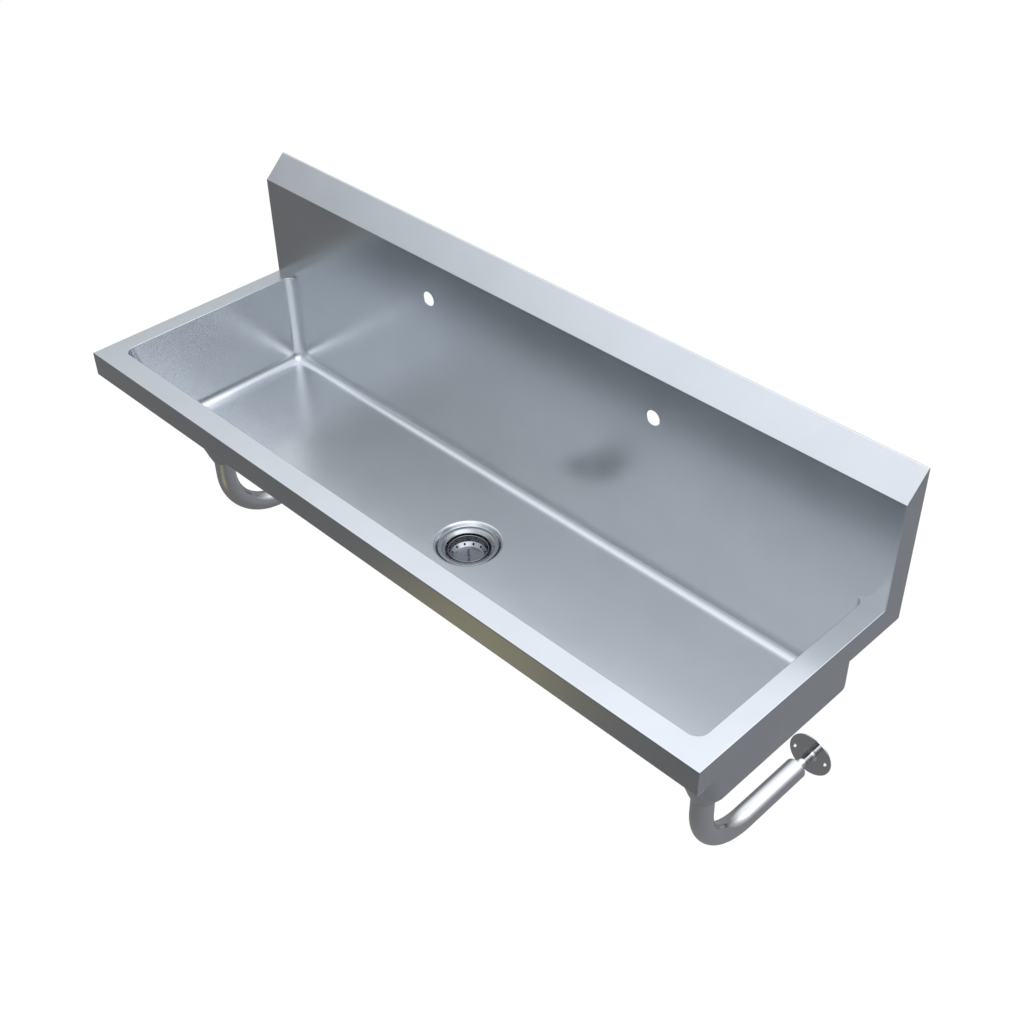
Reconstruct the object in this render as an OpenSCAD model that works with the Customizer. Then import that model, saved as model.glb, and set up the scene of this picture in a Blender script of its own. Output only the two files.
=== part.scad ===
// Wall-hung wash trough in stainless sheet, with a sloping-top splashback, a basket waste
// and two bent tube stays that stand off the wall on adjustable round feet.
// X runs along the wall, +Y points into the wall, +Z is up. The wall is the plane Y = 0,
// the top of the rim is the plane Z = 0, and X = 0 is the middle of the trough.

/* [Trough] */
// Length along the wall, over the end panels
overall_length = 1200; // [1000:10:1500]
// Front edge of the rim to the face of the splashback
rim_depth = 356; // [340:1:400]
// Thickness of the sheet
sheet = 1.2; // [1:0.1:1.5]
// Outside radius of the folded edges
fold_r = 2; // [1.8:0.1:3]
// Height of the apron at the front and the ends
apron_height = 40; // [34:1:44]
// Width of the returns folded inwards under the apron and at the back
return_width = 14; // [8:1:16]

/* [Bowl] */
// Width of the rim at the front
front_rim_width = 36; // [32:1:44]
// Width of the rim at each end
end_rim_width = 30; // [26:1:40]
// Rim to bowl floor
bowl_depth = 160; // [150:1:175]
// How far the front wall leans in between the rim and the floor, 7 in 24 of its height
front_wall_lean = 46.6667; // [30:0.0001:52]
// Radius of the coves and corners inside the bowl
cove_r = 16; // [12:1:20]

/* [Splashback] */
// Face of the splashback to the wall
splash_depth = 39; // [37:1:44]
// Height of the upright face above the rim
splash_face_height = 163.5; // [150:0.5:190]
// Height that the sloping top adds
splash_slope_rise = 36.5; // [30:0.5:44]
// Flange turned down against the wall at the top
splash_flange_height = 25; // [18:1:30]
// Middle of one tap hole to the middle of the other
tap_spacing = 440; // [200:10:600]
// Tap holes above the rim
tap_height = 100; // [90:1:120]
// Diameter of the tap holes
tap_hole_d = 23; // [20:0.5:28]

/* [Wall rail] */
// End of the trough to the end of the rail on the wall
rail_end_gap = 70; // [50:5:130]
// Thickness of the rail and of the hook that hangs on it
rail_thickness = 2; // [1.5:0.1:2.5]
// Rail below the line of its screws
rail_below = 22; // [16:1:30]
// Rail above the line of its screws, up to its step
rail_above = 24; // [18:1:34]
// Step of the rail away from the wall
rail_step = 8; // [7:0.5:10]
// Height of the rail's upright lip
rail_lip = 28; // [20:1:32]
// Depth of the hook that drops behind the lip
hook_drop = 24; // [16:1:26]
// Height of the hook's flange on the splashback
hook_flange = 40; // [24:1:50]
// End of the rail to the middle of its outer screw slots
outer_slot_inset = 80; // [40:5:140]
// Distance between the inner pair of screw slots
inner_slot_spacing = 300; // [200:10:400]
// Width of the screw slots
slot_width = 7; // [5:0.5:9]
// Length of the screw slots, end to end
slot_length = 16; // [12:1:20]

/* [Stays] */
// End of the trough to the middle of a stay
stay_inset = 88; // [84:1:160]
// Front edge of the bowl's floor to the middle of a stay's upright
stay_behind_front = 56.3333; // [54:0.0001:64]
// Rim to the middle of a stay's level tube
stay_drop = 362; // [350:1:420]
// Outside diameter of the stay's tube
tube_d = 32; // [28:1:36]
// Wall of the stay's tube
tube_wall = 2; // [1.5:0.1:3]
// Radius of the bend on the middle line of the tube
bend_r = 99; // [80:1:105]
// End of the tube to the wall
tube_end_gap = 39; // [32:1:44]
// Outside diameter of the socket where it meets the bowl
socket_top_d = 84; // [70:1:86]
// Foot ring of the socket beyond its cone
socket_foot = 4; // [2:0.5:6]
// Height of the socket
socket_height = 71; // [50:1:80]
// Thickness of the socket's wall
socket_wall = 1.5; // [1.2:0.1:2]

/* [Wall feet] */
// Diameter of the rod that slides in the tube
rod_d = 16; // [12:0.5:18]
// Length of the rod in front of its flange
rod_length = 107; // [95:1:130]
// Part of the end bush inside the tube
bush_length = 30; // [24:1:40]
// Visible lip of the end bush
bush_lip = 3.5; // [2:0.1:5]
// Rounding of the lip's outer edge
bush_lip_r = 1.5; // [0.8:0.1:1.8]
// Diameter of the wall flange
flange_d = 70; // [66:1:90]
// Thickness of the wall flange
flange_thickness = 3; // [2:0.1:4]
// Middle of one flange hole to the middle of the other
flange_hole_spacing = 52; // [46:1:54]
// Diameter of the flange holes
flange_hole_d = 6.5; // [5:0.1:8]
// Collar round the rod at the flange, beyond the rod's side
collar_width = 4; // [2:0.5:5]
// Height of the collar along the rod
collar_height = 3.5; // [2:0.5:6]
// Diameter of the screw that locks the rod
lock_screw_d = 6; // [5:0.5:8]
// End of the tube to the lock screw
lock_screw_inset = 16; // [12:1:20]

/* [Waste] */
// Axis of the waste ahead of the middle of the bowl's floor
waste_ahead = 3.3333; // [0:0.0001:8]
// Diameter of the rebate at the bowl floor
rebate_top_d = 99; // [97:0.5:104]
// Diameter of the rebate's flat seat
rebate_seat_d = 91; // [90.4:0.2:94]
// Depth of the seat below the bowl floor
rebate_depth = 7; // [5:0.5:9]
// Outside diameter of the waste's flange
waste_flange_d = 89; // [86:0.5:90]
// Thickness of the waste's flange and cup
waste_wall = 1.2; // [1:0.1:1.6]
// Start of the flange's inner slope, as a diameter
waste_lip_d = 77; // [74:0.5:79]
// Drop of the flange's inner slope
waste_lip_drop = 3.7; // [2:0.1:5]
// Inside diameter of the cup
cup_d = 66.8; // [65:0.2:68]
// Flange to the cup's inner floor
cup_depth = 38; // [37.5:0.5:46]
// Thread on the outside of the cup, beyond its wall
cup_thread = 0.8; // [0.5:0.1:1.2]
// Drop of the cup's bottom towards the outlet
cup_fall = 3; // [2:0.5:5]
// Outside diameter of the outlet's thread
outlet_d = 47.8; // [44:0.1:50]
// Wall of the outlet
outlet_wall = 3.4; // [2.5:0.1:5]
// Length of the outlet's thread
outlet_length = 24; // [18:1:40]
// Thickness of the gasket under the flange
gasket_thickness = 0.8; // [0.5:0.1:1.5]
// Thickness of the rubber washer under the bowl
washer_thickness = 3; // [2:0.1:4]
// Thickness of the slip ring under the washer
slip_ring_thickness = 1; // [0.6:0.1:1.5]
// Height of the locknut
locknut_height = 9; // [7:0.5:12]
// Outside diameter of the locknut's ring
locknut_d = 90; // [84:1:94]
// Lugs of the locknut beyond its ring
locknut_lug = 5; // [3:0.5:8]
// Width of the lugs
locknut_lug_width = 12; // [8:1:16]

/* [Basket] */
// Outside diameter of the basket's rim
basket_rim_d = 61; // [58:0.2:62]
// Basket's rim below the waste's flange
basket_rim_drop = 5.5; // [4.5:0.1:7]
// Thickness of the basket's sheet
basket_wall = 0.9; // [0.7:0.1:1.2]
// Height of the basket's upright wall
basket_wall_height = 10; // [8:0.5:11]
// Inside diameter at the foot of the upright wall
basket_foot_d = 56; // [54:0.5:57]
// Diameter of the basket's flat floor
basket_floor_d = 44; // [40:0.5:46]
// Drop of the perforated ring between the wall and the floor
basket_ring_drop = 5; // [4:0.1:6]
// Number of holes in the perforated ring
basket_holes = 12; // [8:1:16]
// Diameter of the holes
basket_hole_d = 3.2; // [2.5:0.1:4]
// Diameter of the centre post
post_d = 2.8; // [2:0.1:4]
// Height of the post above the basket's floor
post_height = 12; // [9:0.1:14]
// Diameter of the knob on the post
knob_d = 5; // [4.5:0.1:10]
// Height of the knob
knob_height = 1.6; // [1:0.1:3]
// Diameter of the stem below the basket
stem_d = 6; // [5:0.1:7]
// Stem below the seal's nut
stem_tip = 8; // [6:0.5:10]
// Diameter of the rubber seal
seal_d = 48; // [46:0.5:50]
// Width of the seal's edge that rests on the cup's floor
seal_land = 3; // [2:0.5:4]
// Thickness of the seal's disc
seal_thickness = 4; // [3:0.1:5]
// Diameter of the seal's neck
seal_neck_d = 18; // [14:0.5:22]
// Nut under the seal, across its corners
seal_nut_d = 12; // [10:0.5:14]
// Height of that nut
seal_nut_height = 3.5; // [2.5:0.1:4]
// Width of the crossbar's arms in the outlet
crossbar_width = 4; // [3:0.5:6]
// Diameter of the crossbar's hub
crossbar_hub_d = 12; // [10:0.5:14]
// Height of the crossbar
crossbar_height = 4; // [3:0.5:6]
// Seal nut to the crossbar
crossbar_gap = 2.5; // [1.5:0.1:4]

/* [Hidden] */

// Fineness of round surfaces and of the arcs in folded edges
round_fn = 96;
fold_steps = 4;
// Cuts run this far past what they cut
overrun = 5;
// Radial gap of parts that are pushed or screwed together
push_gap = 0.05;
// Radial gap of the rod in its bush
running_gap = 0.05;
// Radial gap of the waste in the bowl's hole
hole_gap = 0.5;
// Gap left between parts that move apart
moving_gap = 0.3;

// Planes and edges of the trough
half_length = overall_length / 2;
splash_face_y = -splash_depth;
front_y = splash_face_y - rim_depth;
opening_front_y = front_y + front_rim_width;
opening_half = half_length - end_rim_width;
floor_z = -bowl_depth;
floor_front_y = opening_front_y + front_wall_lean;
floor_under_z = floor_z - sheet;

// Middles of the coves, which the inside and the outside of the bowl share
lean_rate = front_wall_lean / bowl_depth;
lean_length = sqrt(1 + lean_rate * lean_rate);
core_x = opening_half - cove_r;
core_z = floor_z + cove_r;
core_rear_y = splash_face_y - cove_r;
core_front_y = floor_front_y + cove_r * (lean_length - lean_rate);
// The coves run this far past the rim, and the bowl is cut off under it
core_top_z = 6;
core_run = core_rear_y - core_front_y;
core_rise = core_top_z - core_z;
core_lean = lean_rate * core_rise;
core_column = lean_length * core_rise;
lean_angle = atan(lean_rate);

// Splashback
splash_top_z = splash_face_height + splash_slope_rise;
splash_slope_angle = atan(splash_slope_rise / splash_depth);

// Wall rail
rail_length = overall_length - 2 * rail_end_gap;
outer_slot_spacing = rail_length - 2 * outer_slot_inset;

// Waste
waste_y = (splash_face_y + floor_front_y) / 2 - waste_ahead;
seat_z = floor_z - rebate_depth;
seat_under_z = seat_z - sheet;
waste_top_z = seat_z + gasket_thickness + waste_wall;
cup_r = cup_d / 2;
cup_outer_r = cup_r + waste_wall + cup_thread;
waste_hole_r = waste_lip_d / 2 + hole_gap;
cup_floor_z = waste_top_z - cup_depth;
outlet_bore_r = outlet_d / 2 - outlet_wall;
outlet_end_z = cup_floor_z - cup_fall - waste_wall - outlet_length;

// Basket
basket_rim_z = waste_top_z - basket_rim_drop;
basket_foot_z = basket_rim_z - basket_wall_height;
basket_floor_z = basket_foot_z - basket_ring_drop;
seal_low_z = cup_floor_z + moving_gap;
seal_nut_low_z = seal_low_z - seal_nut_height;
crossbar_top_z = seal_nut_low_z - crossbar_gap;
stem_end_z = seal_nut_low_z - stem_tip;

// Stays and feet
stay_x = half_length - stay_inset;
stay_y = floor_front_y + stay_behind_front;
stay_z = -stay_drop;
tube_r = tube_d / 2;
tube_bore_r = tube_r - tube_wall;
tube_end_y = -tube_end_gap;
tube_top_z = floor_under_z - socket_wall;
socket_low_z = floor_under_z - socket_height;
bend_y = stay_y + bend_r;
bend_z = stay_z + bend_r;
rod_r = rod_d / 2;
rod_end_y = -flange_thickness - rod_length;
lock_screw_y = tube_end_y - lock_screw_inset;
lock_screw_r = lock_screw_d / 2;
lock_head_share = 0.6;
lock_head_height = lock_head_share * lock_screw_d;

// Points of an arc about c, from angle a to angle b
function arc(c, r, a, b, n = fold_steps) =
    [for (i = [0 : n]) c + r * [cos(a + (b - a) * i / n), sin(a + (b - a) * i / n)]];

// Stands a profile drawn in Y and Z upright and runs it along X, centred
module along_x(length) {
    rotate([90, 0, 90])
        linear_extrude(length, center = true)
            children();
}

// Turns a shape made along Z so that it runs along +Y from the given place
module along_y(place) {
    translate(place)
        rotate([-90, 0, 0])
            children();
}

// Cross-section of the bowl in Y and Z, its coves rounded by r
module bowl_section(r) {
    top_front = [-core_lean, core_rise];
    outward = -[1, lean_rate] * r / lean_length;
    polygon([[0, 0], [core_run, 0], [core_run, core_rise], top_front]);
    polygon([[0, 0], top_front, top_front + outward, outward]);
    translate([0, -r])
        square([core_run, r]);
    translate([core_run, 0])
        square([r, core_rise]);
    for (y = [0, core_run])
        translate([y, 0])
            circle(r, $fn = round_fn);
}

// The bowl's form, its coves rounded by r about the shared middles
module bowl_form(r) {
    translate([0, core_front_y, core_z]) {
        along_x(2 * core_x)
            bowl_section(r);
        for (side = [0, 1])
            mirror([side, 0, 0])
                bowl_end(r);
    }
}

// One end of the bowl's form: its wall, upright rear corner, end cove and leaning front corner
module bowl_end(r) {
    translate([core_x + r / 2, 0, 0])
        along_x(r)
            polygon([[0, 0], [core_run, 0], [core_run, core_rise], [-core_lean, core_rise]]);
    translate([core_x, core_run, 0])
        rotate_extrude(angle = 90, $fn = round_fn) {
            square([r, core_rise]);
            intersection() {
                circle(r, $fn = round_fn);
                translate([0, -r])
                    square([r, r]);
            }
        }
    translate([core_x, 0, 0])
        rotate([-90, 0, 0])
            intersection() {
                cylinder(core_run, r, r, $fn = round_fn);
                cube([r, r, core_run]);
            }
    translate([core_x, 0, 0]) {
        rotate([lean_angle, 0, 0])
            intersection() {
                cylinder(core_column, r, r, $fn = round_fn);
                translate([0, -r, 0])
                    cube([r, r, core_column]);
            }
        intersection() {
            sphere(r, $fn = round_fn);
            translate([0, -r, -r])
                cube([r, r, 2 * r]);
            rotate([lean_angle, 0, 0])
                translate([0, -r, -r])
                    cube([r, 2 * r, r]);
        }
    }
}

// Deep-drawn bowl: floor, coved walls and the pressed rebate for the waste
module bowl() {
    slope = (rebate_top_d - rebate_seat_d) / 2 / rebate_depth;
    color("silver")
        difference() {
            union() {
                bowl_form(cove_r + sheet);
                translate([0, waste_y, seat_under_z])
                    cylinder(floor_z - seat_under_z, rebate_seat_d / 2 + sheet,
                             rebate_top_d / 2 + sheet, $fn = round_fn);
            }
            bowl_form(cove_r);
            translate([-half_length, front_y, -sheet])
                cube([overall_length, rim_depth + splash_depth, bowl_depth]);
            translate([0, waste_y, seat_z])
                cylinder(rebate_depth + overrun, rebate_seat_d / 2,
                         rebate_top_d / 2 + slope * overrun, $fn = round_fn);
            translate([0, waste_y, seat_under_z - overrun])
                cylinder(sheet + 2 * overrun, waste_hole_r, waste_hole_r, $fn = round_fn);
        }
}

// Flat rim round the bowl, cut out with the bowl's own corners
module rim_deck() {
    color("gainsboro")
        translate([0, 0, -sheet])
            linear_extrude(sheet)
                difference() {
                    translate([fold_r - half_length, front_y + fold_r])
                        square([overall_length - 2 * fold_r, rim_depth - fold_r]);
                    translate([-core_x, opening_front_y])
                        square([2 * core_x, rim_depth - front_rim_width + overrun]);
                    translate([-opening_half, opening_front_y + cove_r])
                        square([2 * opening_half, rim_depth - front_rim_width - 2 * cove_r]);
                    for (x = [-core_x, core_x], y = [opening_front_y + cove_r, core_rear_y])
                        translate([x, y])
                            circle(cove_r, $fn = round_fn);
                }
}

// Folded strip down the front: edge, apron and the return under it, its ends cut back for the
// end panels
module front_apron() {
    top_fold = [front_y + fold_r, -fold_r];
    low_fold = [front_y + fold_r, fold_r - apron_height];
    inner_r = fold_r - sheet;
    color("dimgray")
        difference() {
            along_x(overall_length)
                polygon(concat(arc(top_fold, fold_r, 90, 180), arc(low_fold, fold_r, 180, 270),
                               [[front_y + return_width, -apron_height],
                                [front_y + return_width, sheet - apron_height]],
                               arc(low_fold, inner_r, 270, 180),
                               arc(top_fold, inner_r, 180, 90)));
            for (side = [0, 1])
                mirror([side, 0, 0])
                    translate([half_length - sheet, front_y + sheet, -apron_height - overrun])
                        cube([sheet + overrun, return_width, apron_height - fold_r + overrun]);
        }
}

// Folded sheet of the splashback: upright face, sloping top and the flange on the wall
module splashback() {
    half_bend = splash_slope_angle / 2;
    top_bend = 90 - splash_slope_angle;
    inner_y = splash_face_y + sheet;
    inner_top_z = splash_face_height - sheet * tan(45 - half_bend);
    flange_top_z = splash_top_z - sheet * tan(splash_slope_angle) - sheet / cos(splash_slope_angle);
    color("darkgray")
        difference() {
            along_x(overall_length - 2 * sheet)
                polygon([[splash_face_y, -sheet], [splash_face_y, splash_face_height],
                         [0, splash_top_z], [0, splash_top_z - splash_flange_height],
                         [-sheet, splash_top_z - splash_flange_height], [-sheet, flange_top_z],
                         [inner_y, inner_top_z], [inner_y, -sheet]]);
            for (x = [-tap_spacing / 2, tap_spacing / 2])
                along_y([x, splash_face_y - overrun, tap_height])
                    cylinder(sheet + 2 * overrun, tap_hole_d / 2, tap_hole_d / 2, $fn = round_fn);
        }
}

// End panel of the right side: one skin from the front corner to the wall, with its top edge
// folded over to the rim and returns underneath and at the back
module end_panel() {
    skin_x = half_length - sheet;
    low_z = sheet - apron_height;
    panel_front_y = front_y + sheet;
    inner_r = fold_r - sheet;
    edge_fold = [half_length - fold_r, -fold_r];
    color("slategray") {
        translate([half_length - sheet / 2, 0, 0])
            along_x(sheet)
                polygon([[panel_front_y, -apron_height], [panel_front_y, -fold_r],
                         [splash_face_y, -fold_r], [splash_face_y, splash_face_height],
                         [0, splash_top_z], [0, -apron_height]]);
        along_y([0, front_y + fold_r, 0])
            linear_extrude(rim_depth - fold_r)
                polygon([for (p = concat(arc(edge_fold, fold_r, 0, 90),
                                         arc(edge_fold, inner_r, 90, 0))) [p.x, -p.y]]);
        translate([half_length - return_width, front_y + return_width, -apron_height])
            cube([return_width - sheet, -front_y - return_width, sheet]);
        translate([half_length - return_width, -sheet, low_z])
            cube([return_width - sheet, sheet, splash_top_z - splash_flange_height - low_z]);
    }
}

// Hook welded to the back of the splashback, which hangs over the rail's lip
module hanger_channel() {
    top_z = rail_above + rail_thickness + rail_lip;
    back_y = splash_face_y + sheet;
    hook_y = -(rail_step - rail_thickness) / 2 - rail_thickness / 2;
    color("lightslategray")
        along_x(rail_length)
            polygon([[back_y, top_z + rail_thickness - hook_flange], [back_y, top_z + rail_thickness],
                     [hook_y + rail_thickness, top_z + rail_thickness],
                     [hook_y + rail_thickness, top_z - hook_drop], [hook_y, top_z - hook_drop],
                     [hook_y, top_z], [back_y + rail_thickness, top_z],
                     [back_y + rail_thickness, top_z + rail_thickness - hook_flange]]);
}

// One screw slot, drawn flat and pushed through along Y
module rail_slot(x) {
    along_y([x, -rail_thickness - overrun, 0])
        linear_extrude(rail_thickness + 2 * overrun) {
            square([slot_length - slot_width, slot_width], center = true);
            for (side = [-1, 1])
                translate([side * (slot_length - slot_width) / 2, 0])
                    circle(slot_width / 2, $fn = round_fn);
        }
}

// Stepped rail that is screwed to the wall through its slots
module wall_rail() {
    lip_y = -rail_step - rail_thickness;
    color("gray")
        difference() {
            along_x(rail_length)
                polygon([[0, -rail_below], [0, rail_above + rail_thickness],
                         [-rail_step, rail_above + rail_thickness],
                         [-rail_step, rail_above + rail_thickness + rail_lip],
                         [lip_y, rail_above + rail_thickness + rail_lip], [lip_y, rail_above],
                         [-rail_thickness, rail_above], [-rail_thickness, -rail_below]]);
            for (spacing = [outer_slot_spacing, inner_slot_spacing], side = [-1, 1])
                rail_slot(side * spacing / 2);
        }
}

// Spun cone welded under the bowl, which takes the top of a stay
module socket() {
    top_r = socket_top_d / 2;
    bore_r = tube_r + push_gap;
    color("darkgray")
        translate([stay_x, stay_y, 0])
            rotate_extrude($fn = round_fn)
                polygon([[top_r + socket_foot, floor_under_z],
                         [top_r + socket_foot, floor_under_z - socket_wall],
                         [top_r, floor_under_z - socket_wall],
                         [bore_r + socket_wall, socket_low_z], [bore_r, socket_low_z],
                         [bore_r, socket_low_z + socket_wall],
                         [top_r - socket_wall, floor_under_z - socket_wall],
                         [top_r - socket_wall, floor_under_z]]);
}

// The stay's line at radius r: upright, quarter bend and level run, its ends moved out by extra
module stay_run(r, extra) {
    translate([stay_x, stay_y, bend_z])
        cylinder(tube_top_z - bend_z + extra, r, r, $fn = round_fn);
    translate([stay_x, bend_y, bend_z])
        rotate([-90, 0, 0])
            rotate([0, 90, 0])
                rotate_extrude(angle = 90, $fn = round_fn)
                    translate([bend_r, 0])
                        circle(r, $fn = round_fn);
    along_y([stay_x, bend_y, stay_z])
        cylinder(tube_end_y - bend_y + extra, r, r, $fn = round_fn);
}

// Hole for the lock screw, up through the bottom of the level tube
module lock_screw_hole() {
    translate([stay_x, lock_screw_y, stay_z - tube_r - overrun])
        cylinder(tube_r + overrun, lock_screw_r + push_gap, lock_screw_r + push_gap, $fn = round_fn);
}

// Bent tube of a stay
module stay_tube() {
    color("whitesmoke")
        difference() {
            stay_run(tube_r, 0);
            stay_run(tube_bore_r, overrun);
            lock_screw_hole();
        }
}

// Bush pushed into the tube's end, which guides the rod
module end_bush() {
    outer_r = tube_bore_r - push_gap;
    bore_r = rod_r + running_gap;
    lip_corner = [tube_r - bush_lip_r, bush_lip - bush_lip_r];
    color("lightgray")
        difference() {
            along_y([stay_x, tube_end_y, stay_z])
                rotate_extrude($fn = round_fn)
                    polygon(concat([[bore_r, -bush_length], [outer_r, -bush_length], [outer_r, 0],
                                    [tube_r, 0]],
                                   arc(lip_corner, bush_lip_r, 0, 90), [[bore_r, bush_lip]]));
            lock_screw_hole();
        }
}

// Rod that slides in the bush and carries the wall flange
module rod() {
    color("white")
        along_y([stay_x, rod_end_y, stay_z])
            cylinder(rod_length, rod_r, rod_r, $fn = round_fn);
}

// Round flange that is screwed to the wall
module wall_flange() {
    color("dimgray")
        difference() {
            along_y([stay_x, -flange_thickness, stay_z])
                cylinder(flange_thickness, flange_d / 2, flange_d / 2, $fn = round_fn);
            for (side = [-1, 1])
                along_y([stay_x + side * flange_hole_spacing / 2, -flange_thickness - overrun, stay_z])
                    cylinder(flange_thickness + 2 * overrun, flange_hole_d / 2, flange_hole_d / 2,
                             $fn = round_fn);
        }
}

// Coned collar that joins the rod to its flange
module flange_collar() {
    bore_r = rod_r + push_gap;
    color("white")
        along_y([stay_x, -flange_thickness - collar_height, stay_z])
            rotate_extrude($fn = round_fn)
                polygon([[bore_r, 0], [bore_r + sheet, 0], [rod_r + collar_width, collar_height],
                         [bore_r, collar_height]]);
}

// Hex-headed screw that locks the rod from below
module lock_screw() {
    shank = tube_r - rod_r - moving_gap;
    translate([stay_x, lock_screw_y, stay_z - tube_r]) {
        cylinder(shank, lock_screw_r, lock_screw_r, $fn = round_fn);
        translate([0, 0, -lock_head_height])
            cylinder(lock_head_height, lock_screw_d, lock_screw_d, $fn = 6);
    }
}

// Waste: flange, threaded cup, crossbar and outlet in one casting
module waste_body() {
    flange_r = waste_flange_d / 2;
    lip_r = waste_lip_d / 2;
    lip_z = waste_top_z - waste_lip_drop;
    under_z = waste_top_z - waste_wall;
    outlet_r = outlet_d / 2;
    bottom_z = cup_floor_z - cup_fall - waste_wall;
    hub_r = crossbar_hub_d / 2;
    hub_bore_r = stem_d / 2 + moving_gap;
    arm_start = (hub_r + hub_bore_r) / 2;
    arm_end = outlet_bore_r + outlet_wall / 2;
    color("silver")
        translate([0, waste_y, 0]) {
            rotate_extrude($fn = round_fn)
                polygon([[lip_r, waste_top_z], [flange_r - waste_wall / 2, waste_top_z],
                         [flange_r, waste_top_z - waste_wall / 2], [flange_r, under_z],
                         [lip_r, under_z], [cup_outer_r, seat_under_z],
                         [cup_outer_r, cup_floor_z - waste_wall],
                         [outlet_r, bottom_z], [outlet_r, outlet_end_z],
                         [outlet_bore_r, outlet_end_z], [outlet_bore_r, cup_floor_z - cup_fall],
                         [seal_d / 2 - seal_land, cup_floor_z], [cup_r, cup_floor_z],
                         [cup_r, lip_z]]);
            translate([0, 0, crossbar_top_z - crossbar_height]) {
                difference() {
                    cylinder(crossbar_height, hub_r, hub_r, $fn = round_fn);
                    translate([0, 0, -overrun])
                        cylinder(crossbar_height + 2 * overrun, hub_bore_r, hub_bore_r, $fn = round_fn);
                }
                for (turn = [90, 210, 330])
                    rotate([0, 0, turn])
                        translate([arm_start, -crossbar_width / 2, 0])
                            cube([arm_end - arm_start, crossbar_width, crossbar_height]);
            }
        }
}

// Flat ring about the waste's axis, from its top downwards
module waste_ring(inner_r, outer_r, top_z, height) {
    translate([0, waste_y, top_z - height])
        difference() {
            cylinder(height, outer_r, outer_r, $fn = round_fn);
            translate([0, 0, -overrun])
                cylinder(height + 2 * overrun, inner_r, inner_r, $fn = round_fn);
        }
}

// Thin gasket between the waste's flange and the rebate's seat
module waste_gasket() {
    color("black")
        waste_ring(waste_hole_r, waste_flange_d / 2 - waste_wall, seat_z + gasket_thickness,
                   gasket_thickness);
}

// Rubber washer under the bowl
module waste_washer() {
    color("black")
        waste_ring(cup_outer_r + push_gap, rebate_seat_d / 2, seat_under_z, washer_thickness);
}

// Slip ring between the washer and the locknut
module slip_ring() {
    color("burlywood")
        waste_ring(cup_outer_r + push_gap, rebate_seat_d / 2, seat_under_z - washer_thickness,
                   slip_ring_thickness);
}

// Lugged locknut on the cup's thread
module waste_locknut() {
    top_z = seat_under_z - washer_thickness - slip_ring_thickness;
    ring_r = locknut_d / 2;
    lug_start = (cup_outer_r + ring_r) / 2;
    color("darkgray") {
        waste_ring(cup_outer_r + push_gap, ring_r, top_z, locknut_height);
        translate([0, waste_y, top_z - locknut_height])
            for (turn = [45 : 90 : 315])
                rotate([0, 0, turn])
                    translate([lug_start, -locknut_lug_width / 2, 0])
                        cube([ring_r + locknut_lug - lug_start, locknut_lug_width,
                              locknut_height]);
    }
}

// Lift-out strainer basket with a ring of holes round its floor
module basket() {
    rim_r = basket_rim_d / 2;
    foot_r = basket_foot_d / 2;
    floor_r = basket_floor_d / 2;
    hole_ring_r = (foot_r + floor_r) / 2;
    stem_r = stem_d / 2 + push_gap;
    color("silver")
        difference() {
            translate([0, waste_y, 0])
                rotate_extrude($fn = round_fn)
                    polygon([[rim_r, basket_rim_z], [rim_r - basket_wall, basket_rim_z],
                             [foot_r, basket_foot_z], [floor_r, basket_floor_z],
                             [stem_r, basket_floor_z], [stem_r, basket_floor_z - basket_wall],
                             [floor_r + basket_wall / 2, basket_floor_z - basket_wall],
                             [foot_r + basket_wall, basket_foot_z - basket_wall / 2]]);
            for (i = [0 : basket_holes - 1])
                translate([0, waste_y, 0])
                    rotate([0, 0, i * 360 / basket_holes])
                        translate([hole_ring_r, 0, basket_floor_z - basket_wall - overrun])
                            cylinder(basket_ring_drop + 2 * overrun, basket_hole_d / 2,
                                     basket_hole_d / 2, $fn = round_fn);
        }
}

// Centre post of the basket: knob, post and the stem that guides it in the crossbar
module basket_post() {
    knob_top_z = basket_floor_z + post_height;
    stem_r = stem_d / 2;
    color("white")
        translate([0, waste_y, 0])
            rotate_extrude($fn = round_fn)
                polygon([[0, knob_top_z], [knob_d / 2 - knob_height / 2, knob_top_z],
                         [knob_d / 2, knob_top_z - knob_height / 2],
                         [post_d / 2, knob_top_z - knob_height], [post_d / 2, basket_floor_z],
                         [stem_r, basket_floor_z], [stem_r, stem_end_z + stem_r / 2],
                         [stem_r / 2, stem_end_z], [0, stem_end_z]]);
}

// Rubber seal: a neck under the basket and the disc that closes the outlet
module basket_seal() {
    bore_r = stem_d / 2 + push_gap;
    neck_r = seal_neck_d / 2;
    disc_r = seal_d / 2;
    disc_top_z = seal_low_z + seal_thickness;
    color("black")
        translate([0, waste_y, 0])
            rotate_extrude($fn = round_fn)
                polygon([[bore_r, basket_floor_z - basket_wall],
                         [neck_r, basket_floor_z - basket_wall],
                         [neck_r, disc_top_z + seal_thickness / 2], [disc_r, disc_top_z],
                         [disc_r, seal_low_z], [bore_r, seal_low_z]]);
}

// Nut that holds the seal on the stem
module seal_nut() {
    color("gold")
        translate([0, waste_y, seal_nut_low_z])
            difference() {
                cylinder(seal_nut_height, seal_nut_d / 2, seal_nut_d / 2, $fn = 6);
                translate([0, 0, -overrun])
                    cylinder(seal_nut_height + 2 * overrun, stem_d / 2 + push_gap,
                             stem_d / 2 + push_gap, $fn = round_fn);
            }
}

// Makes the left-hand copy of a right-hand piece
module left() {
    mirror([1, 0, 0])
        children();
}

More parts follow.
